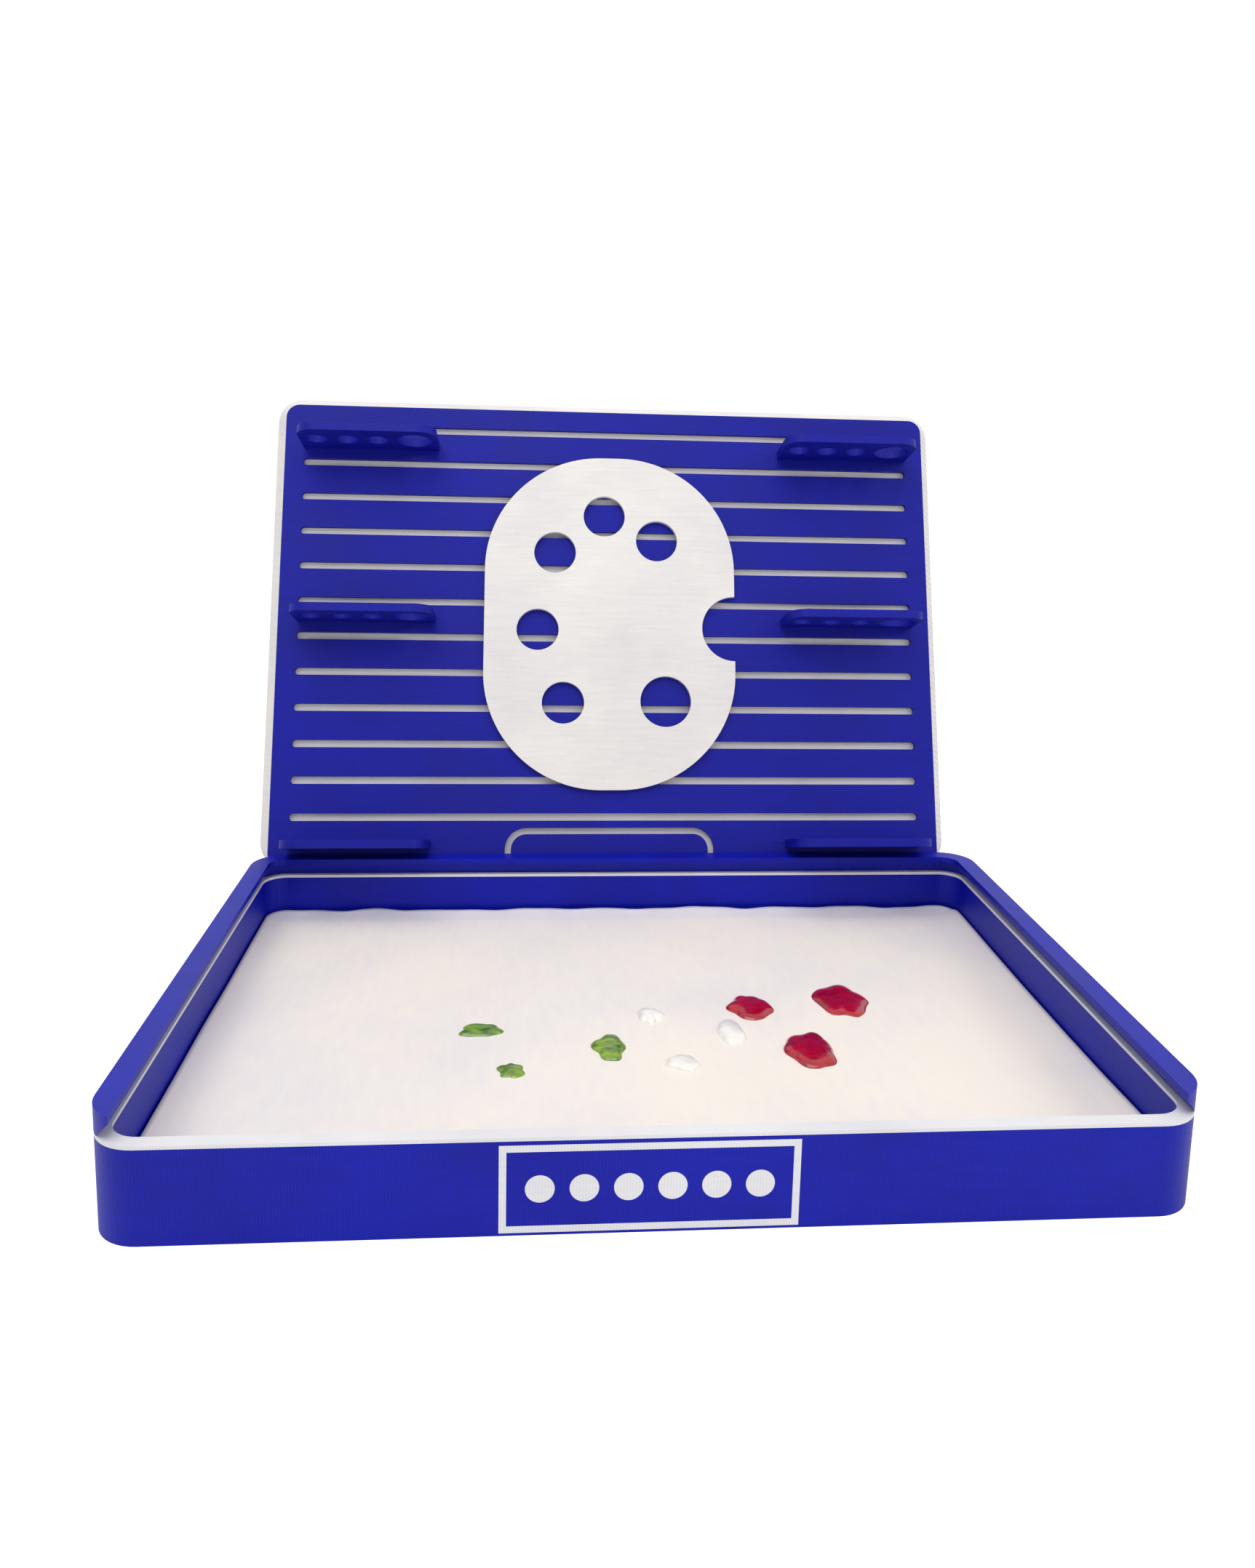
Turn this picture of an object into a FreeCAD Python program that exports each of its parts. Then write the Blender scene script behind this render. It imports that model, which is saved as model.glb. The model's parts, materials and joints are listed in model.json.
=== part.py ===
import FreeCAD, Part
import math
import os
import re
import Sketcher

# A wet palette printed in two colours: a shallow tray with dovetail rails, its sliding lid
# stood up behind it, and the pad, the sheet and the paint that lie in the tray.
# Frame: X to the right, Y to the back, Z up, origin at the centre of the tray's underside.

# Driving sizes in millimetres and degrees.
SIZES = {
    # tray
    "tray_width": 230, "tray_depth": 160, "corner_radius": 10,
    "shell_height": 20.7, "wall": 3.5, "tray_floor": 2, "band_height": 0.8,
    # dovetail rails: foot and land are measured from the outer face
    "rail_foot": 1.8, "rail_land": 5.3, "undercut_height": 4.1, "land_height": 1.6,
    # lid
    "slide_clearance": 0.3, "plate_height": 3.7, "panel_height": 1.7,
    "lid_lean": 18.9, "lid_gap": 0.6, "lid_seat": 22.8, "lid_shift": -3,
    "slot_count": 12, "slot_width": 2.4, "slot_spacing": 11.87, "slot_margin": 6.2,
    "first_slot": 8.06,
    "grip_width": 68.4, "grip_top": 12.2, "grip_groove": 2, "grip_radius": 7,
    "emblem_width": 84, "emblem_length": 113, "emblem_height": 1.8, "emblem_radius": 39,
    "emblem_rise": 73.5, "thumb_radius": 8.5, "well_radius": 7, "well_count": 5,
    # brush tabs
    "tab_width": 45, "tab_reach": 19.5, "tab_height": 2.6, "tab_radius": 6, "tab_margin": 6.3,
    "rest_drop": 147.5, "brush_radius": 3.65, "big_brush_radius": 5.75, "hole_reach": 10,
    "first_hole": 5.6, "hole_spacing": 9.9, "big_hole": 37.6,
    # stand brackets
    "bracket_width": 30, "bracket_place": 70, "bracket_lip": 10, "bracket_thickness": 3,
    "bracket_foot": 16,
    # label
    "label_width": 61.5, "label_height": 19.2, "label_line": 1.5, "label_depth": 0.8,
    "label_lift": 0.6, "label_shift": -3.2, "dot_count": 6, "dot_radius": 3,
    "dot_spacing": 9,
    # pad, sheet and paint
    "soft_gap": 0.2, "pad_side_gap": 2, "pad_back_gap": 5, "pad_height": 6,
    "sheet_side_gap": 0.6, "sheet_height": 0.5,
}

# Dabs of paint on the sheet: name, centre X and Y, width, depth, height.
DABS = [
    ("green_paint_1", -40.7, -8.1, 14, 9, 1.1),
    ("green_paint_2", -32.4, -29.7, 8.6, 10, 1.0),
    ("green_paint_3", -8.3, -18.4, 10, 16, 1.3),
    ("red_paint_1", 31.0, 3.7, 14.6, 17, 1.4),
    ("red_paint_2", 57.1, 6.3, 19, 25, 1.6),
    ("red_paint_3", 42.5, -20.8, 14.8, 24, 1.5),
    ("white_paint_1", 3.4, -0.8, 8.8, 12, 1.4),
    ("white_paint_2", 23.6, -10.8, 9.6, 16, 1.6),
    ("white_paint_3", 9.3, -26.5, 9.8, 9.6, 1.2),
]

doc = FreeCAD.newDocument("wet_palette")
sheet = doc.addObject("Spreadsheet::Sheet", "Sizes")
for row, (alias, number) in enumerate(SIZES.items(), start=1):
    sheet.set(f"A{row}", alias)
    sheet.set(f"B{row}", str(number))
    sheet.setAlias(f"B{row}", alias)
doc.recompute()

nodes = []


def bound(formula):
    """The formula with each size name pointed at its spreadsheet cell."""
    return re.sub(r"[a-z_]+", lambda word: "Sizes." + word[0] if word[0] in SIZES else word[0],
                  formula)


def value(formula):
    """The number that a formula gives now."""
    result = sheet.evalExpression(bound(formula))
    return float(getattr(result, "Value", result))


def plane(body, role):
    """One of the body's own origin planes."""
    return [item for item in body.Origin.OriginFeatures if item.Role == role][0]


def new_body(label):
    body = doc.addObject("PartDesign::Body", label)
    body.Label = label
    nodes.append(body)
    return body


def new_sketch(body, name, role, offset):
    """A sketch on an origin plane, moved along the plane's normal by the offset."""
    sketch = body.newObject("Sketcher::SketchObject", name)
    sketch.AttachmentSupport = (plane(body, role), [""])
    sketch.MapMode = "FlatFace"
    sketch.setExpression("AttachmentOffset.Base.z", bound(offset))
    return sketch


def tie(sketch, kind, first, second, formula):
    """A dimension of the sketch, driven by the sheet."""
    number = sketch.addConstraint(Sketcher.Constraint(kind, *first, *second, value(formula)))
    sketch.setExpression(f"Constraints[{number}]", bound(formula))


def outline(body, name, role, offset, left, right, low, high, low_radius="", high_radius=""):
    """A rectangle from left to right and low to high, its lower and upper corners rounded."""
    sketch = new_sketch(body, name, role, offset)
    x = [value(left), value(right)]
    y = [value(low), value(high)]
    low_r = value(low_radius) if low_radius else 0
    high_r = value(high_radius) if high_radius else 0
    # corners anticlockwise from the lower left: X, Y, radius, the formula of the radius
    corners = [(x[0], y[0], low_r, low_radius), (x[1], y[0], low_r, low_radius),
               (x[1], y[1], high_r, high_radius), (x[0], y[1], high_r, high_radius)]
    steps = [(1, 0), (0, 1), (-1, 0), (0, -1)]
    for side in range(4):
        here = corners[side]
        there = corners[(side + 1) % 4]
        step_x, step_y = steps[side]
        start = FreeCAD.Vector(here[0] + step_x * here[2], here[1] + step_y * here[2], 0)
        end = FreeCAD.Vector(there[0] - step_x * there[2], there[1] - step_y * there[2], 0)
        sketch.addGeometry(Part.LineSegment(start, end))
        direction = "Horizontal" if side % 2 == 0 else "Vertical"
        sketch.addConstraint(Sketcher.Constraint(direction, side))
    for corner in range(4):
        corner_x, corner_y, radius, radius_formula = corners[corner]
        before = (corner + 3) % 4
        if not radius_formula:
            sketch.addConstraint(Sketcher.Constraint("Coincident", before, 2, corner, 1))
            continue
        step_x, step_y = steps[corner]
        centre = FreeCAD.Vector(corner_x + radius * (step_x - step_y),
                                corner_y + radius * (step_y + step_x), 0)
        begin = math.pi * (1 + corner / 2)
        circle = Part.Circle(centre, FreeCAD.Vector(0, 0, 1), radius)
        arc = sketch.addGeometry(Part.ArcOfCircle(circle, begin, begin + math.pi / 2))
        sketch.addConstraint(Sketcher.Constraint("Tangent", before, 2, arc, 1))
        sketch.addConstraint(Sketcher.Constraint("Tangent", arc, 2, corner, 1))
        tie(sketch, "Radius", (arc,), (), radius_formula)
    tie(sketch, "DistanceX", (-1, 1), (3, 1), left)
    tie(sketch, "DistanceX", (-1, 1), (1, 1), right)
    tie(sketch, "DistanceY", (-1, 1), (0, 1), low)
    tie(sketch, "DistanceY", (-1, 1), (2, 1), high)
    return sketch


def polygon(body, name, role, offset, points):
    """A closed outline through points given as pairs of formulas."""
    sketch = new_sketch(body, name, role, offset)
    places = [FreeCAD.Vector(value(x), value(y), 0) for x, y in points]
    count = len(points)
    for index in range(count):
        sketch.addGeometry(Part.LineSegment(places[index], places[(index + 1) % count]))
    for index, (x, y) in enumerate(points):
        sketch.addConstraint(
            Sketcher.Constraint("Coincident", index, 2, (index + 1) % count, 1))
        tie(sketch, "DistanceX", (-1, 1), (index, 1), x)
        tie(sketch, "DistanceY", (-1, 1), (index, 1), y)
    return sketch


def circles(body, name, role, offset, rounds):
    """Circles, each given by the formulas of its centre and radius."""
    sketch = new_sketch(body, name, role, offset)
    for x, y, radius in rounds:
        centre = FreeCAD.Vector(value(x), value(y), 0)
        circle = Part.Circle(centre, FreeCAD.Vector(0, 0, 1), value(radius))
        index = sketch.addGeometry(circle)
        tie(sketch, "Radius", (index,), (), radius)
        tie(sketch, "DistanceX", (-1, 1), (index, 3), x)
        tie(sketch, "DistanceY", (-1, 1), (index, 3), y)
    return sketch


def pad(body, sketch, length):
    feature = body.newObject("PartDesign::Pad", sketch.Name + "_pad")
    feature.Profile = sketch
    feature.setExpression("Length", bound(length))
    return feature


def pocket(body, sketch, length, reverse=False):
    """A pocket that cuts against the sketch's normal, or along it when reversed."""
    feature = body.newObject("PartDesign::Pocket", sketch.Name + "_pocket")
    feature.Profile = sketch
    feature.Reversed = reverse
    feature.setExpression("Length", bound(length))
    return feature


def loft(body, kind, bottom, top):
    feature = body.newObject("PartDesign::" + kind, bottom.Name + "_loft")
    feature.Profile = bottom
    feature.Sections = [(top, [""])]
    feature.Ruled = True
    return feature


# ---------------------------------------------------------------- tray
HALF_WIDTH = "tray_width / 2"
HALF_DEPTH = "tray_depth / 2"
INNER_RADIUS = "corner_radius - wall"
BAND_TOP = "(shell_height + band_height)"
RAIL_HEIGHT = "(undercut_height + land_height)"


def tray_outline(body, name, offset):
    return outline(body, name, "XY_Plane", offset, f"-{HALF_WIDTH}", HALF_WIDTH,
                   f"-{HALF_DEPTH}", HALF_DEPTH, "corner_radius", "corner_radius")


def well_outline(body, name, offset):
    """The hollow inside the walls."""
    return outline(body, name, "XY_Plane", offset, f"-({HALF_WIDTH} - wall)",
                   f"{HALF_WIDTH} - wall", f"-({HALF_DEPTH} - wall)", f"{HALF_DEPTH} - wall",
                   INNER_RADIUS, INNER_RADIUS)


LABEL_LEFT = "(label_shift - label_width / 2)"
LABEL_RIGHT = "(label_shift + label_width / 2)"
LABEL_LOW = "label_lift"
LABEL_HIGH = "(label_lift + label_height)"
LABEL_MIDDLE = "(label_lift + label_height / 2)"


def dot_place(index):
    return f"label_shift + ({index} - (dot_count - 1) / 2) * dot_spacing"


def label_outer(body, name, offset):
    return outline(body, name, "XZ_Plane", offset, LABEL_LEFT, LABEL_RIGHT, LABEL_LOW,
                   LABEL_HIGH)


def label_inner(body, name, offset):
    return outline(body, name, "XZ_Plane", offset, f"{LABEL_LEFT} + label_line",
                   f"{LABEL_RIGHT} - label_line", f"{LABEL_LOW} + label_line",
                   f"{LABEL_HIGH} - label_line")


# The blue shell: floor and four walls, its front face recessed for the white inlay.
tray_shell = new_body("tray_shell")
pad(tray_shell, tray_outline(tray_shell, "shell_outline", "0"), "shell_height")
pocket(tray_shell, well_outline(tray_shell, "shell_well", "shell_height"),
       "shell_height - tray_floor")
# XZ_Plane's normal points to the front, so the front face is at +tray_depth / 2 along it
pocket(tray_shell, label_outer(tray_shell, "label_recess", HALF_DEPTH), "label_depth")
pad(tray_shell, label_inner(tray_shell, "label_field", f"{HALF_DEPTH} - label_depth"),
    "label_depth")
DOTS = [(dot_place(index), LABEL_MIDDLE, "dot_radius") for index in range(SIZES["dot_count"])]
pocket(tray_shell, circles(tray_shell, "dot_recess", "XZ_Plane", HALF_DEPTH, DOTS),
       "label_depth")

# The white inlay of the label: a plain frame and a row of plain dots.
label_frame = new_body("label_frame")
pad(label_frame, label_outer(label_frame, "frame_outline", f"{HALF_DEPTH} - label_depth"),
    "label_depth")
pocket(label_frame, label_inner(label_frame, "frame_hole", HALF_DEPTH), "label_depth")
for index, dot in enumerate(DOTS):
    label_dot = new_body(f"label_dot_{index + 1}")
    dot_offset = f"{HALF_DEPTH} - label_depth"
    dot_sketch = circles(label_dot, f"dot_outline_{index + 1}", "XZ_Plane", dot_offset, [dot])
    pad(label_dot, dot_sketch, "label_depth")

# The white layer along the top of the walls, which the lid slides on.
rim_band = new_body("rim_band")
pad(rim_band, tray_outline(rim_band, "band_outline", "shell_height"), "band_height")
pocket(rim_band, well_outline(rim_band, "band_hole", BAND_TOP), "band_height")

# The dovetail rails on three sides; the front is open for the lid.
LAND_Z = f"({BAND_TOP} + undercut_height)"
RAIL_TOP = f"({BAND_TOP} + {RAIL_HEIGHT})"
OPEN_FRONT = f"-({HALF_DEPTH} + corner_radius)"
lid_rail = new_body("lid_rail")
pad(lid_rail, tray_outline(lid_rail, "rail_outline", BAND_TOP), RAIL_HEIGHT)


def lid_space(name, offset, inset):
    return outline(lid_rail, name, "XY_Plane", offset, f"-({HALF_WIDTH} - {inset})",
                   f"{HALF_WIDTH} - {inset}", OPEN_FRONT, f"{HALF_DEPTH} - {inset}", "",
                   f"corner_radius - {inset}")


loft(lid_rail, "SubtractiveLoft", lid_space("undercut_foot", BAND_TOP, "rail_foot"),
     lid_space("undercut_top", LAND_Z, "rail_land"))
pocket(lid_rail, lid_space("rail_land_outline", RAIL_TOP, "rail_land"), "land_height")

# ---------------------------------------------------------------- stand brackets
# The lid's lower front edge is at (LID_Y, lid_seat). Two blue brackets on the back wall hold
# the lid there: a seat square to the lid and a lip behind it.
LEAN = "(lid_lean * 1 deg)"
LID_Y = f"({HALF_DEPTH} + lid_gap)"
LID_THICKNESS = "(plate_height + panel_height)"


def beside_lid(along, behind):
    """The Y and Z of a point so far up the lid's face and so far behind it."""
    return (f"{LID_Y} + ({along}) * sin({LEAN}) + ({behind}) * cos({LEAN})",
            f"lid_seat + ({along}) * cos({LEAN}) - ({behind}) * sin({LEAN})")


SLOT_BACK = f"{LID_THICKNESS} + slide_clearance"
SEAT_DROP = "-slide_clearance"
SEAT_AT_WALL = (HALF_DEPTH,
                f"lid_seat - slide_clearance / cos({LEAN}) + lid_gap * tan({LEAN})")
BRACKET_POINTS = [
    (HALF_DEPTH, "0"), (f"{HALF_DEPTH} + bracket_foot", "0"),
    beside_lid("bracket_lip", f"{SLOT_BACK} + bracket_thickness"),
    beside_lid("bracket_lip", SLOT_BACK), beside_lid(SEAT_DROP, SLOT_BACK), SEAT_AT_WALL]
for side, sign in (("left", "-1"), ("right", "1")):
    bracket = new_body(f"stand_bracket_{side}")
    bracket_start = f"{sign} * bracket_place - bracket_width / 2"
    pad(bracket, polygon(bracket, f"bracket_profile_{side}", "YZ_Plane", bracket_start,
                         BRACKET_POINTS), "bracket_width")

# ---------------------------------------------------------------- lid
# The lid's pieces are drawn lying down: X across, Y up the lid from its front end, Z out of
# its outer face, with the plate's back at Z = 0. stand_up() then leans them in the brackets.
LID_LENGTH = "(tray_depth - rail_foot - slide_clearance)"
PLATE_HALF = f"({HALF_WIDTH} - rail_foot - slide_clearance)"
BEVEL = "((rail_land - rail_foot) * plate_height / undercut_height)"
PANEL_HALF = f"({HALF_WIDTH} - rail_land - slide_clearance)"
PANEL_TOP = f"({LID_LENGTH} - rail_land + rail_foot)"
PLATE_RADIUS = "(corner_radius - rail_foot - slide_clearance)"
PANEL_RADIUS = "(corner_radius - rail_land - slide_clearance)"
LID_FACE = LID_THICKNESS


def stand_up(body):
    """Leans a lid piece back, its lower front edge on the brackets' seats."""
    body.Placement.Rotation = FreeCAD.Rotation(FreeCAD.Vector(1, 0, 0), 90)
    body.setExpression("Placement.Rotation.Angle", bound("90 - lid_lean"))
    body.setExpression("Placement.Base.x", bound("lid_shift"))
    body.setExpression("Placement.Base.y", bound(f"{LID_Y} + {LID_THICKNESS} * cos({LEAN})"))
    body.setExpression("Placement.Base.z",
                       bound(f"lid_seat - {LID_THICKNESS} * sin({LEAN})"))


def plate_outline(name, offset, inset):
    return outline(lid_plate, name, "XY_Plane", offset, f"-({PLATE_HALF} - {inset})",
                   f"{PLATE_HALF} - {inset}", "0", f"{LID_LENGTH} - {inset}",
                   f"{PLATE_RADIUS} - {inset}", f"{PLATE_RADIUS} - {inset}")


# The white plate with bevelled edges that run under the rails.
lid_plate = new_body("lid_plate")
loft(lid_plate, "AdditiveLoft", plate_outline("plate_bottom", "0", "0"),
     plate_outline("plate_top", "plate_height", BEVEL))
stand_up(lid_plate)

# The blue panel: twelve slots and an arch cut through to the white plate.
lid_panel = new_body("lid_panel")
panel_sketch = outline(lid_panel, "panel_outline", "XY_Plane", "plate_height",
                       f"-{PANEL_HALF}", PANEL_HALF, "0", PANEL_TOP, PANEL_RADIUS,
                       PANEL_RADIUS)
pad(lid_panel, panel_sketch, "panel_height")
SLOT_Y = f"({PANEL_TOP} - first_slot)"
SLOT_RADIUS = "(slot_width * 0.45)"
slot_sketch = outline(lid_panel, "slot_outline", "XY_Plane", LID_FACE,
                      f"-({PANEL_HALF} - slot_margin)", f"{PANEL_HALF} - slot_margin",
                      f"{SLOT_Y} - slot_width / 2", f"{SLOT_Y} + slot_width / 2",
                      SLOT_RADIUS, SLOT_RADIUS)
slot = pocket(lid_panel, slot_sketch, "panel_height")
slots = lid_panel.newObject("PartDesign::LinearPattern", "slots")
slots.Originals = [slot]
slots.Direction = (slot_sketch, ["V_Axis"])
slots.Reversed = True
slots.setExpression("Length", bound("slot_spacing * (slot_count - 1)"))
slots.setExpression("Occurrences", bound("slot_count"))
lid_panel.Tip = slots
pocket(lid_panel, outline(lid_panel, "arch_outline", "XY_Plane", LID_FACE, "-grip_width / 2",
                          "grip_width / 2", "-grip_radius", "grip_top", "",
                          "grip_radius"), "panel_height")
stand_up(lid_panel)

# The blue finger grip, an island inside the arch.
grip_inset = new_body("grip_inset")
GRIP_HALF = "(grip_width / 2 - grip_groove)"
pad(grip_inset, outline(grip_inset, "grip_outline", "XY_Plane", "plate_height",
                        f"-{GRIP_HALF}", GRIP_HALF, "0", "grip_top - grip_groove", "",
                        "grip_radius - grip_groove"), "panel_height")
stand_up(grip_inset)

# The raised white emblem: a plain painter's palette with a thumb hole, a bite and wells.
lid_emblem = new_body("lid_emblem")
EMBLEM_Y = f"({PANEL_TOP} - emblem_rise)"
pad(lid_emblem, outline(lid_emblem, "emblem_outline", "XY_Plane", LID_FACE,
                        "-emblem_width / 2", "emblem_width / 2",
                        f"{EMBLEM_Y} - emblem_length / 2", f"{EMBLEM_Y} + emblem_length / 2",
                        "emblem_radius", "emblem_radius"), "emblem_height")
EMBLEM_TOP = f"{LID_FACE} + emblem_height"
bite = ("emblem_width / 2", f"{EMBLEM_Y} - emblem_length * 0.02", "thumb_radius * 1.3")
thumb = ("emblem_width * 0.22", f"{EMBLEM_Y} - emblem_length * 0.24", "thumb_radius")
pocket(lid_emblem, circles(lid_emblem, "bite_outline", "XY_Plane", EMBLEM_TOP, [bite]),
       "emblem_height")
pocket(lid_emblem, circles(lid_emblem, "thumb_outline", "XY_Plane", EMBLEM_TOP, [thumb]),
       "emblem_height")
wells = []
for index in range(SIZES["well_count"]):
    angle = f"(({50} + {index} * 180 / (well_count - 1)) * 1 deg)"
    wells.append((f"emblem_width * 0.29 * cos({angle})",
                  f"{EMBLEM_Y} + emblem_length * 0.32 * sin({angle})", "well_radius"))
pocket(lid_emblem, circles(lid_emblem, "well_outlines", "XY_Plane", EMBLEM_TOP, wells),
       "emblem_height")
stand_up(lid_emblem)

# Brush tabs: shelves square to the lid. A brush drops through the upper and the middle tab
# and its end rests on the lowest one.
LEVELS = {
    "brush_tab_top": f"({PANEL_TOP} - first_slot - slot_spacing * 0.5)",
    "brush_tab_middle": f"({PANEL_TOP} - first_slot - slot_spacing * 5.5)",
    "brush_rest": f"({PANEL_TOP} - rest_drop)",
}
TAB_LEFT = {
    "left": f"(tab_margin - {PANEL_HALF})",
    "right": f"({PANEL_HALF} - tab_margin - tab_width)",
}
for level, height in LEVELS.items():
    for side, start in TAB_LEFT.items():
        tab = new_body(f"{level}_{side}")
        # XZ_Plane's normal is -Y, so the tab's upper face is at the negative offset
        upper = f"-({height} + tab_height / 2)"
        tab_sketch = outline(tab, f"{tab.Name}_outline", "XZ_Plane", upper, start,
                             f"{start} + tab_width", LID_FACE, f"{LID_FACE} + tab_reach", "",
                             "tab_radius")
        pad(tab, tab_sketch, "tab_height")
        if level != "brush_rest":
            holes = [(f"{start} + first_hole + {index} * hole_spacing",
                      f"{LID_FACE} + hole_reach", "brush_radius") for index in range(3)]
            holes.append((f"{start} + big_hole", f"{LID_FACE} + hole_reach",
                          "big_brush_radius"))
            pocket(tab, circles(tab, f"{tab.Name}_holes", "XZ_Plane", upper, holes),
                   "tab_height", reverse=True)
        stand_up(tab)

# ---------------------------------------------------------------- pad, sheet and paint
PAD_Z = "(tray_floor + soft_gap)"
SHEET_Z = f"({PAD_Z} + pad_height + soft_gap)"
SHEET_TOP = f"({SHEET_Z} + sheet_height)"


def soft_outline(body, name, offset, side_gap, back_gap):
    return outline(body, name, "XY_Plane", offset, f"-({HALF_WIDTH} - wall - {side_gap})",
                   f"{HALF_WIDTH} - wall - {side_gap}", f"-({HALF_DEPTH} - wall - {side_gap})",
                   f"{HALF_DEPTH} - wall - {back_gap}", INNER_RADIUS, INNER_RADIUS)


# The wet pad, which stops short of the back wall.
absorbent_pad = new_body("absorbent_pad")
pad(absorbent_pad, soft_outline(absorbent_pad, "pad_outline", PAD_Z, "pad_side_gap",
                                "pad_back_gap"), "pad_height")

# The palette sheet, cut to fill the tray.
palette_sheet = new_body("palette_sheet")
pad(palette_sheet, soft_outline(palette_sheet, "sheet_outline", SHEET_Z, "sheet_side_gap",
                                "sheet_side_gap"), "sheet_height")

# Dabs of paint, each a low half ellipsoid on the sheet.
for label, centre_x, centre_y, width, depth, height in DABS:
    dab = doc.addObject("Part::Ellipsoid", label)
    dab.Label = label
    dab.Angle1 = 0
    dab.Radius1 = height
    dab.Radius2 = width / 2
    dab.Radius3 = depth / 2
    dab.Placement.Base = FreeCAD.Vector(centre_x, centre_y, 0)
    dab.setExpression("Placement.Base.z", bound(SHEET_TOP))
    nodes.append(dab)

doc.recompute()
for item in doc.Objects:
    if "Invalid" in item.State or "Error" in item.State:
        raise RuntimeError(f"{item.Label} failed: {item.State}")
for node in nodes:
    if node.Shape.isNull() or not node.Shape.isValid() or not node.Shape.Solids:
        raise RuntimeError(f"{node.Label} has no valid solid")

os.makedirs("parts", exist_ok=True)
for node in nodes:
    node.Shape.exportStep(f"parts/{node.Label}.step")
    print(node.Label, len(node.Shape.Solids), round(node.Shape.Volume, 1))
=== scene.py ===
import json
import math
import random

import bmesh
import bpy
from mathutils import Matrix, Vector, noise


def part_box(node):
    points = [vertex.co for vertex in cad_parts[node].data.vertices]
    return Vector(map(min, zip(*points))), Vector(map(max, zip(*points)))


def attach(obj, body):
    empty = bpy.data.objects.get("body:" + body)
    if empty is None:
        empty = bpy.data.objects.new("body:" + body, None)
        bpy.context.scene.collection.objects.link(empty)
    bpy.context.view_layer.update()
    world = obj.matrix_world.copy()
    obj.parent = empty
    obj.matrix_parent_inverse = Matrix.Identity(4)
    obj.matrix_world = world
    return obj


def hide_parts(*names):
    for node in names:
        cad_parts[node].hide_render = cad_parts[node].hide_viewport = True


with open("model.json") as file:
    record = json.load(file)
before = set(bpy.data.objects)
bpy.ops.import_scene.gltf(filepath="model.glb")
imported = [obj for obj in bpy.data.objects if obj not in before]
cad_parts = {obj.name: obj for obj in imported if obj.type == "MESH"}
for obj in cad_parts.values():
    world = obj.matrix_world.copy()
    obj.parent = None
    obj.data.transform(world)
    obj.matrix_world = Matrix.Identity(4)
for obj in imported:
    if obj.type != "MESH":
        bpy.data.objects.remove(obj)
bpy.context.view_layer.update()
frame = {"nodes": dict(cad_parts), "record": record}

# ---------------------------------------------------------------- camera
# A viewer who sits at the table in front of the tray, a little to its left, and looks down
# at it by about ten degrees. The view is aimed above the tray, near the middle of the lid.
azimuth = math.radians(-5.11)
elevation = math.radians(9.52)
roll = math.radians(1.44)
distance = 0.32056
focal_length = 29.09
frame_shift = (-0.0136, -0.0824)
looked_at = Vector((0.0008, 0.0, 0.1062))
look = Vector((-math.sin(azimuth) * math.cos(elevation),
               math.cos(azimuth) * math.cos(elevation), -math.sin(elevation)))
camera_data = bpy.data.cameras.new("viewer")
camera_data.sensor_fit = "AUTO"
camera_data.sensor_width = 36
camera_data.lens = focal_length
camera_data.shift_x, camera_data.shift_y = frame_shift
camera_data.clip_start = 0.01
camera = bpy.data.objects.new("viewer", camera_data)
camera.rotation_euler = (look.to_track_quat("-Z", "Y").to_matrix()
                         @ Matrix.Rotation(roll, 3, "Z")).to_euler()
camera.location = looked_at - look * distance
bpy.context.scene.collection.objects.link(camera)
bpy.context.scene.camera = camera

# ---------------------------------------------------------------- printed plastic
# The tray and the lid are 3D printed in blue and white plastic. Thin layers line the walls,
# and each flat top shows the diagonal passes of the nozzle.
layer_pitch = 0.0002
raster_pitch = 0.00045


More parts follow.
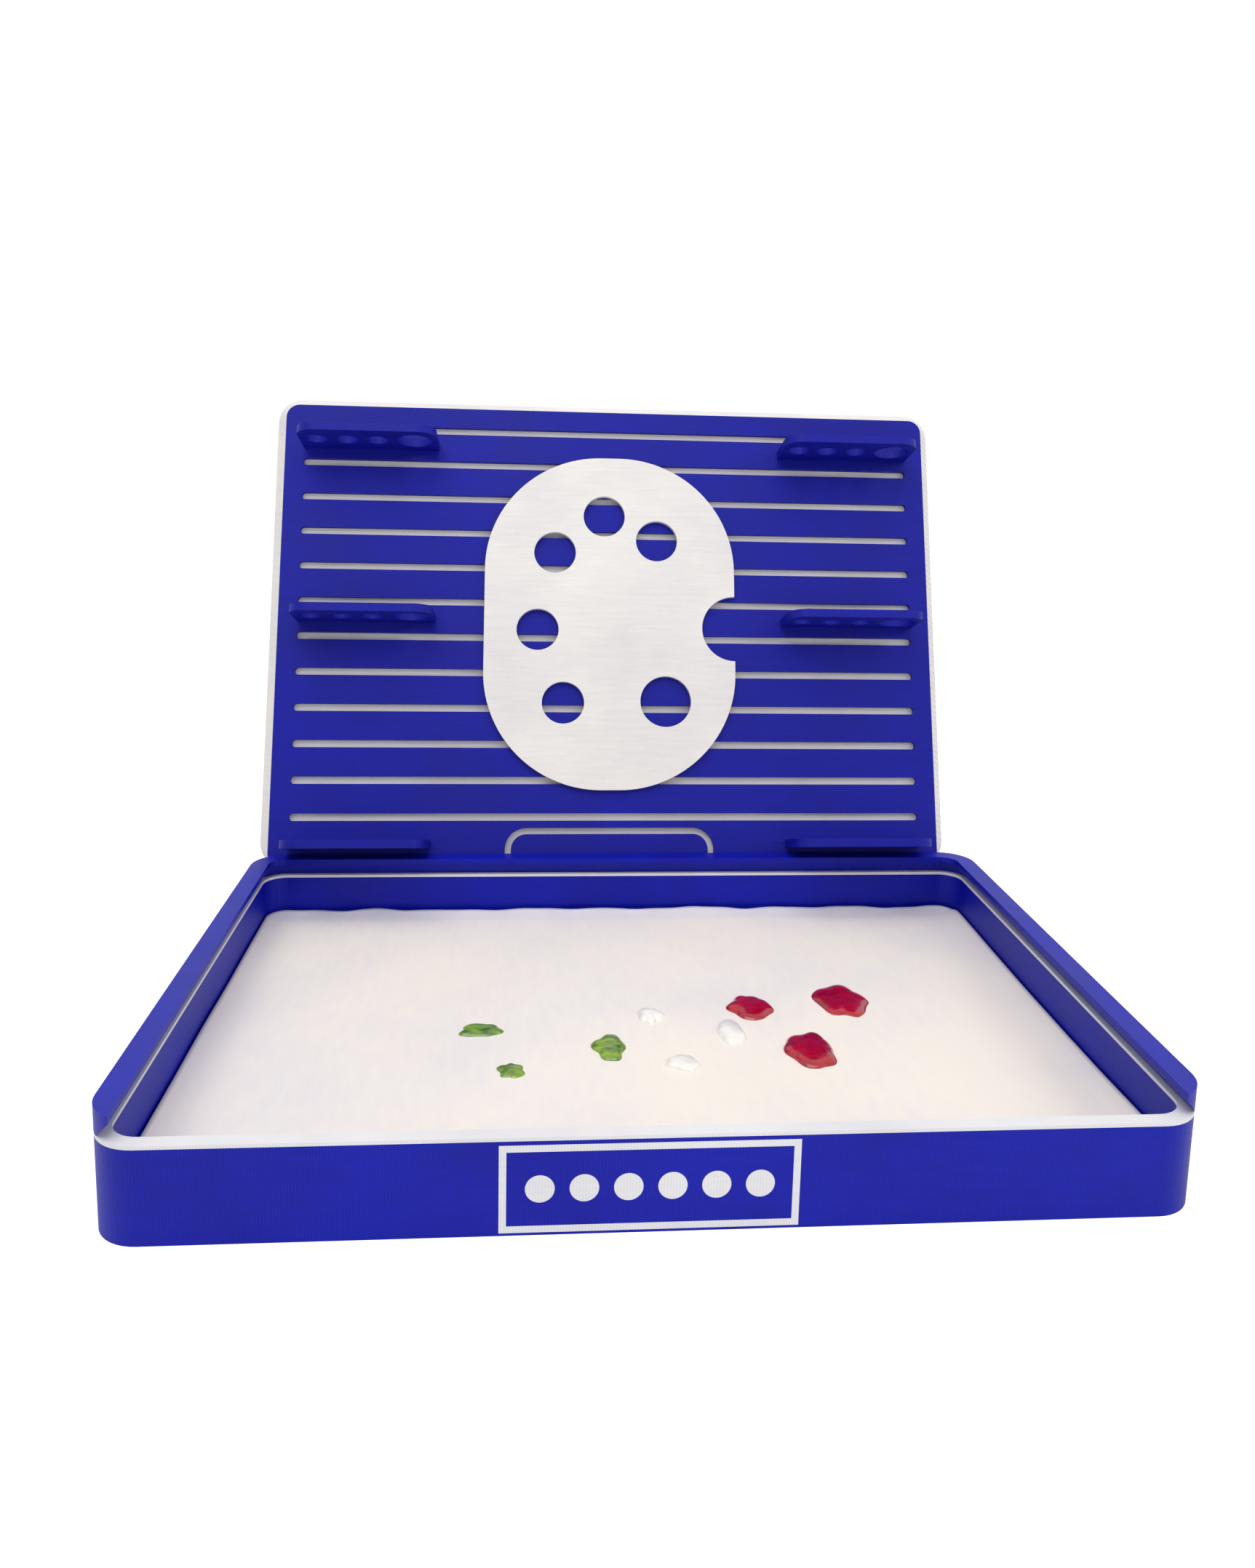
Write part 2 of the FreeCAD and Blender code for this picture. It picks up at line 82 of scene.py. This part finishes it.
class Finish:
    """A material's nodes, made by one method and joined by ordinary sums."""

    def __init__(self, name):
        self.material = bpy.data.materials.new(name)
        self.material.use_nodes = True
        self.tree = self.material.node_tree
        self.tree.nodes.clear()
        self.shader = self.tree.nodes.new("ShaderNodeBsdfPrincipled")
        output = self.tree.nodes.new("ShaderNodeOutputMaterial")
        self.tree.links.new(self.shader.outputs[0], output.inputs[0])

    def node(self, kind, settings=None, sockets=None, output=0):
        made = self.tree.nodes.new(kind)
        for key, setting in (settings or {}).items():
            setattr(made, key, setting)
        for key, entry in (sockets or {}).items():
            self.fill(made.inputs[key], entry)
        return Value(self, made.outputs[output])

    def fill(self, socket, entry):
        if isinstance(entry, Value):
            self.tree.links.new(entry.socket, socket)
        else:
            socket.default_value = entry

    def ramp(self, factor, stops):
        made = self.tree.nodes.new("ShaderNodeValToRGB")
        self.fill(made.inputs[0], factor)
        points = made.color_ramp.elements
        while len(points) < len(stops):
            points.new(0.5)
        for point, (place, tone) in zip(points, stops):
            point.position = place
            point.color = (*tone, 1)
        return Value(self, made.outputs[0])

    def blend(self, factor, first, second):
        return self.node("ShaderNodeMix", {"data_type": "RGBA"},
                         {0: factor, 6: self.colour(first), 7: self.colour(second)}, 2)

    def colour(self, tone):
        return tone if isinstance(tone, Value) else (*tone, 1)

    def place(self):
        return self.node("ShaderNodeTexCoord", output=3)

    def noise(self, place, scale, detail=3, stretch=(1, 1, 1)):
        moved = self.node("ShaderNodeMapping", None, {0: place, 3: stretch})
        return self.node("ShaderNodeTexNoise", None,
                         {"Vector": moved, "Scale": scale, "Detail": detail})

    def bands(self, place, period, turn, warp=0.0):
        moved = self.node("ShaderNodeMapping", None, {0: place, 2: turn})
        return self.node("ShaderNodeTexWave", {"wave_profile": "SIN"},
                         {"Vector": moved, "Scale": math.pi / 10 / period,
                          "Distortion": warp, "Detail Scale": 30.0})

    def bump(self, height, strength, distance):
        made = self.node("ShaderNodeBump", None,
                         {"Strength": strength, "Distance": distance, "Height": height})
        self.fill(self.shader.inputs["Normal"], made)

    def set(self, **entries):
        for key, entry in entries.items():
            self.fill(self.shader.inputs[key.replace("_", " ")], entry)


class Value:
    """A socket that sums, differences and products of numbers can be written with."""

    def __init__(self, finish, socket):
        self.finish = finish
        self.socket = socket

    def math(self, operation, first, second):
        return self.finish.node("ShaderNodeMath", {"operation": operation},
                                {0: first, 1: second})

    def __add__(self, other):
        return self.math("ADD", self, other)

    __radd__ = __add__

    def __sub__(self, other):
        return self.math("SUBTRACT", self, other)

    def __rsub__(self, other):
        return self.math("SUBTRACT", other, self)

    def __mul__(self, other):
        return self.math("MULTIPLY", self, other)

    __rmul__ = __mul__


def printed(name, dark, light, rough, lean=0.0):
    """Printed plastic: mottled colour, with fine bands and a diagonal raster as its bump.

    The bands change from front to back; on a leaning piece they also change with height.
    """
    finish = Finish(name)
    place = finish.place()
    layers = finish.bands(place, layer_pitch, (math.radians(90 - lean), math.radians(90), 0.0), 0.3)
    raster = finish.bands(place, raster_pitch, (0.0, 0.0, math.radians(45)), 0.6)
    patches = finish.noise(place, 38, 4)
    streaks = finish.noise(place, 90, 3, (1, 1, 12))
    mottle = patches * 0.5 + streaks * 0.3 + raster * 0.2
    finish.set(Base_Color=finish.ramp(mottle, [(0.25, dark), (0.75, light)]),
               Roughness=patches * 0.18 + rough, Specular_IOR_Level=0.22)
    finish.bump(layers * 0.55 + raster * 0.3 + patches * 0.15, 0.35, 0.00012)
    return finish.material


deep_blue = (0.0008, 0.002, 0.24)
bright_blue = (0.002, 0.008, 0.42)
shaded_white = (0.66, 0.65, 0.68)
clean_white = (0.80, 0.79, 0.79)
lid_lean = 18.9
tray_blue = printed("tray_blue_print", deep_blue, bright_blue, 0.32)
tray_white = printed("tray_white_print", shaded_white, clean_white, 0.38)
# The lid's two materials are the tray's plastic with painted light. Its blue is darker, a painted
# shade on the upright lid. Its white is a little darker, with a warmer cream light end, a painted
# warm light.
lid_blue_painted_shade = printed("lid_blue_print", (0.0006, 0.0015, 0.19), (0.0016, 0.005, 0.33), 0.4, lid_lean)
lid_white_painted_light = printed("lid_white_print", (0.62, 0.60, 0.62), (0.82, 0.79, 0.74), 0.4, lid_lean)


def dress(node, material):
    mesh = frame["nodes"][node].data
    mesh.materials.clear()
    mesh.materials.append(material)


bodies = frame["record"]["behaviour"]["bodies"]
slots = {entry["node"]: entry["material_slot"] for entry in frame["record"]["subparts"]}
for body, blue, white in (("tray", tray_blue, tray_white), ("lid", lid_blue_painted_shade, lid_white_painted_light)):
    for node in bodies[body]:
        dress(node, blue if slots[node] == "blue_print" else white)

# ---------------------------------------------------------------- wet pad
# A thin foam pad soaked in water lies on the tray's floor. It is cut from sheet foam, so its
# edge is slightly uneven, and it sags a little where the water has gathered.


def slab(name, low, high, steps, shape):
    """A closed slab between two corners; shape moves each point of its grid."""
    made = bmesh.new()
    across, deep = steps
    layers = []
    for level in (0, 1):
        rows = []
        for j in range(deep + 1):
            row = []
            for i in range(across + 1):
                x = low.x + (high.x - low.x) * i / across
                y = low.y + (high.y - low.y) * j / deep
                z = (low.z, high.z)[level]
                row.append(made.verts.new(shape(Vector((x, y, z)), level)))
            rows.append(row)
        layers.append(rows)
    bottom, top = layers
    for j in range(deep):
        for i in range(across):
            made.faces.new((top[j][i], top[j][i + 1], top[j + 1][i + 1], top[j + 1][i]))
            made.faces.new((bottom[j + 1][i], bottom[j + 1][i + 1], bottom[j][i + 1],
                            bottom[j][i]))
    for i in range(across):
        made.faces.new((bottom[0][i], bottom[0][i + 1], top[0][i + 1], top[0][i]))
        made.faces.new((top[deep][i], top[deep][i + 1], bottom[deep][i + 1], bottom[deep][i]))
    for j in range(deep):
        made.faces.new((top[j][0], top[j + 1][0], bottom[j + 1][0], bottom[j][0]))
        made.faces.new((bottom[j][across], bottom[j + 1][across], top[j + 1][across],
                        top[j][across]))
    mesh = bpy.data.meshes.new(name)
    made.to_mesh(mesh)
    made.free()
    for face in mesh.polygons:
        face.use_smooth = True
    piece = bpy.data.objects.new(name, mesh)
    bpy.context.scene.collection.objects.link(piece)
    return piece


def near_corner(point, low, high, radius):
    """The point pulled inside corners rounded to the radius."""
    middle = (low + high) / 2
    half = (high - low) / 2
    out_x = abs(point.x - middle.x) - (half.x - radius)
    out_y = abs(point.y - middle.y) - (half.y - radius)
    if out_x > 0 and out_y > 0:
        reach = math.hypot(out_x, out_y)
        square = max(out_x, out_y)
        point.x = middle.x + math.copysign(half.x - radius + out_x * square / reach,
                                           point.x - middle.x)
        point.y = middle.y + math.copysign(half.y - radius + out_y * square / reach,
                                           point.y - middle.y)
    return point


pad_low, pad_high = (Vector(corner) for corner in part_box("absorbent_pad"))
soft_corner = 0.006
pad_sag = 0.0004


def pad_shape(point, level):
    point = near_corner(point, pad_low, pad_high, soft_corner)
    if level:
        point.z -= pad_sag + pad_sag * noise.noise(point * 45)
    return point


wet_pad = slab("wet_pad", pad_low, pad_high, (60, 42), pad_shape)
foam = Finish("wet_foam")
foam_place = foam.place()
pores = foam.noise(foam_place, 900, 3)
damp = foam.noise(foam_place, 25, 3)
foam.set(Base_Color=foam.ramp(damp, [(0.3, (0.50, 0.54, 0.68)), (0.7, (0.68, 0.70, 0.80))]),
         Roughness=damp * 0.3 + 0.3)
foam.bump(pores, 0.5, 0.0004)
wet_pad.data.materials.append(foam.material)
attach(wet_pad, "pad")
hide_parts("absorbent_pad")

# ---------------------------------------------------------------- palette sheet
# Damp parchment cut to fill the tray. It lies on the pad, buckles a little where it took up
# water, and its back edge, torn by hand, climbs the back wall.
sheet_low, sheet_high = (Vector(corner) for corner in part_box("palette_sheet"))


def sheet_shape(point, level):
    point = near_corner(point, sheet_low, sheet_high, soft_corner)
    to_back = max(0.0, 1 - (sheet_high.y - point.y) / 0.007)
    to_right = max(0.0, 1 - (sheet_high.x - point.x) / 0.008)
    to_left = max(0.0, 1 - (point.x - sheet_low.x) / 0.006)
    front = max(0.0, 1 - (point.y - sheet_low.y) / 0.06)
    ripple = noise.noise(Vector((point.x * 38, point.y * 30, 0.3)))
    buckle = 0.00035 + 0.00045 * ripple
    back_wave = 0.0012 + 0.0009 * noise.noise(Vector((point.x * 60, 2.0, 0.0)))
    climb = max(to_back ** 2 * back_wave, to_right ** 2 * (0.0008 + 0.0012 * front))
    point.z += buckle * (0.6 + 0.4 * level) + climb + to_left ** 2 * 0.0008
    point.y -= to_back ** 2 * 0.0012 * (1 + noise.noise(Vector((point.x * 110, 5.0, 0.0))))
    if not level:
        point.z = max(point.z, sheet_low.z)
    return point


paper_thickness = 0.0003
sheet_base = sheet_high.z - paper_thickness
damp_sheet = slab("damp_sheet", Vector((sheet_low.x, sheet_low.y, sheet_base)), sheet_high,
                  (200, 140), sheet_shape)
paper = Finish("damp_parchment")
paper_place = paper.place()
fibres = paper.noise(paper_place, 420, 5, (1, 0.25, 1))
clouds = paper.noise(paper_place, 16, 4)
cockle = paper.noise(paper_place, 130, 3)
paper_tone = paper.ramp(clouds * 0.7 + fibres * 0.3,
                        [(0.3, (0.76, 0.72, 0.72)), (0.6, (0.86, 0.79, 0.71))])
from_front = paper.node("ShaderNodeSeparateXYZ", None, {0: paper_place}, 1)
past_pad = paper.node("ShaderNodeMapRange", None,
                      {0: from_front, 1: pad_high.y - 0.004, 2: sheet_high.y})
paper_tone = paper.blend(past_pad * 0.6, paper_tone, (0.48, 0.50, 0.66))
paper.set(Base_Color=paper_tone, Roughness=clouds * 0.25 + 0.38)
paper.bump(cockle * 0.7 + fibres * 0.3, 0.35, 0.0005)
damp_sheet.data.materials.append(paper.material)
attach(damp_sheet, "sheet")
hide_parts("palette_sheet")

# ---------------------------------------------------------------- paint
# Dabs of acrylic paint put down with a brush: a thick wet heap with ridges where the bristles
# dragged, a ragged foot, and a thin stain where the brush worked it out.


def paint_finish(name, thin, thick, rough):
    finish = Finish(name)
    place = finish.place()
    swirl = finish.noise(place, 260, 4, (1, 2.4, 1))
    pool = finish.noise(place, 120, 3)
    finish.set(Base_Color=finish.ramp(swirl * 0.6 + pool * 0.4, [(0.36, thick), (0.62, thin)]),
               Roughness=pool * 0.15 + rough, Coat_Weight=0.35)
    finish.bump(swirl, 0.3, 0.0004)
    return finish.material


paints = {
    "green": paint_finish("green_acrylic", (0.26, 0.42, 0.01), (0.008, 0.07, 0.025), 0.12),
    "red": paint_finish("red_acrylic", (0.46, 0.0, 0.012), (0.24, 0.0, 0.008), 0.1),
    "white": paint_finish("white_acrylic", (0.88, 0.85, 0.80), (0.80, 0.76, 0.70), 0.16),
}
random.seed(21)
foot_sink = 0.0001
skirt_height = 0.0007
for node in bodies["sheet"][1:]:
    low, high = (Vector(corner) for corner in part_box(node))
    middle = (low + high) / 2
    half = (high - low) / 2
    drift = Vector((random.uniform(0, 9), random.uniform(0, 9), 0))
    heap = bmesh.new()
    rings, spokes = 22, 72
    rows = []
    for ring in range(1, rings + 1):
        out = ring / rings
        row = []
        for spoke in range(spokes):
            angle = 2 * math.pi * spoke / spokes
            way = Vector((math.cos(angle), math.sin(angle), 0))
            ragged = 0.84 + 0.26 * noise.noise(way * 1.3 + drift)
            x = middle.x + way.x * half.x * out * ragged
            y = middle.y + way.y * half.y * out * ragged
            ridges = noise.noise(Vector((x * 240, y * 120, 0)) + drift)
            crown = (1 - out ** 2.6) * (0.72 + 0.26 * ridges)
            z = (low.z - foot_sink + (high.z - low.z) * max(crown, 0.0)
                 + skirt_height * (1 - out ** 12))
            row.append(heap.verts.new((x, y, z)))
        rows.append(row)
    top = heap.verts.new((middle.x, middle.y, sum(v.co.z for v in rows[0]) / spokes))
    foot = heap.verts.new((middle.x, middle.y, low.z - foot_sink))
    for spoke in range(spokes):
        ahead = (spoke + 1) % spokes
        heap.faces.new((top, rows[0][spoke], rows[0][ahead]))
        heap.faces.new((foot, rows[-1][ahead], rows[-1][spoke]))
        for ring in range(rings - 1):
            heap.faces.new((rows[ring][spoke], rows[ring + 1][spoke], rows[ring + 1][ahead],
                            rows[ring][ahead]))
    mesh = bpy.data.meshes.new(node + "_dab")
    heap.to_mesh(mesh)
    heap.free()
    for face in mesh.polygons:
        face.use_smooth = True
    dab = bpy.data.objects.new(node + "_dab", mesh)
    bpy.context.scene.collection.objects.link(dab)
    dab.data.materials.append(paints[node.split("_")[0]])
    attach(dab, "sheet")
    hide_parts(node)

# ---------------------------------------------------------------- table and light
# A white table in a white room, under a broad soft lamp from above and a smaller one from the
# right. Straight to the camera the room shows pure white; its light on the object is lower.
table_mesh = bpy.data.meshes.new("white_table")
table_mesh.from_pydata([(-3, -2, 0), (3, -2, 0), (3, 4, 0), (-3, 4, 0)], [], [(0, 1, 2, 3)])
table = bpy.data.objects.new("white_table", table_mesh)
bpy.context.scene.collection.objects.link(table)
cloth = Finish("white_table_top")
cloth_mottle = cloth.noise(cloth.place(), 30, 2)
cloth.set(Base_Color=cloth.ramp(cloth_mottle, [(0.0, (0.86, 0.86, 0.86)),
                                               (1.0, (0.90, 0.90, 0.90))]), Roughness=0.7,
          Emission_Strength=0.45)
seen = cloth.node("ShaderNodeLightPath")
cloth.set(Emission_Color=cloth.blend(seen, (0, 0, 0), (1, 1, 1)))
table_mesh.materials.append(cloth.material)

world = bpy.data.worlds.new("soft_room")
bpy.context.scene.world = world
world.use_nodes = True
world.node_tree.nodes["Background"].inputs[0].default_value = (1, 1, 1, 1)
room = world.node_tree
light_path = room.nodes.new("ShaderNodeLightPath")
rays = [light_path.outputs[kind] for kind in
        ("Is Camera Ray", "Is Glossy Ray", "Is Transmission Ray")]
for ray in rays[1:]:
    both = room.nodes.new("ShaderNodeMath")
    both.operation = "MAXIMUM"
    room.links.new(rays[0], both.inputs[0])
    room.links.new(ray, both.inputs[1])
    rays[0] = both.outputs[0]
strength = room.nodes.new("ShaderNodeMath")
strength.operation = "MULTIPLY_ADD"
strength.inputs[1].default_value = 0.38
strength.inputs[2].default_value = 0.62
room.links.new(rays[0], strength.inputs[0])
room.links.new(strength.outputs[0], room.nodes["Background"].inputs[1])


def soft_lamp(name, place, size, power):
    data = bpy.data.lights.new(name, "AREA")
    data.size = size
    data.energy = power
    lamp = bpy.data.objects.new(name, data)
    lamp.location = place
    lamp.rotation_euler = (Vector((0, 0, 0.05)) - lamp.location).to_track_quat(
        "-Z", "Y").to_euler()
    bpy.context.scene.collection.objects.link(lamp)


soft_lamp("overhead", Vector((-0.2, -0.35, 1.1)), 1.0, 8.5)
soft_lamp("window", Vector((1.0, -0.6, 0.7)), 0.8, 3.5)
bpy.context.scene.view_settings.view_transform = "Standard"
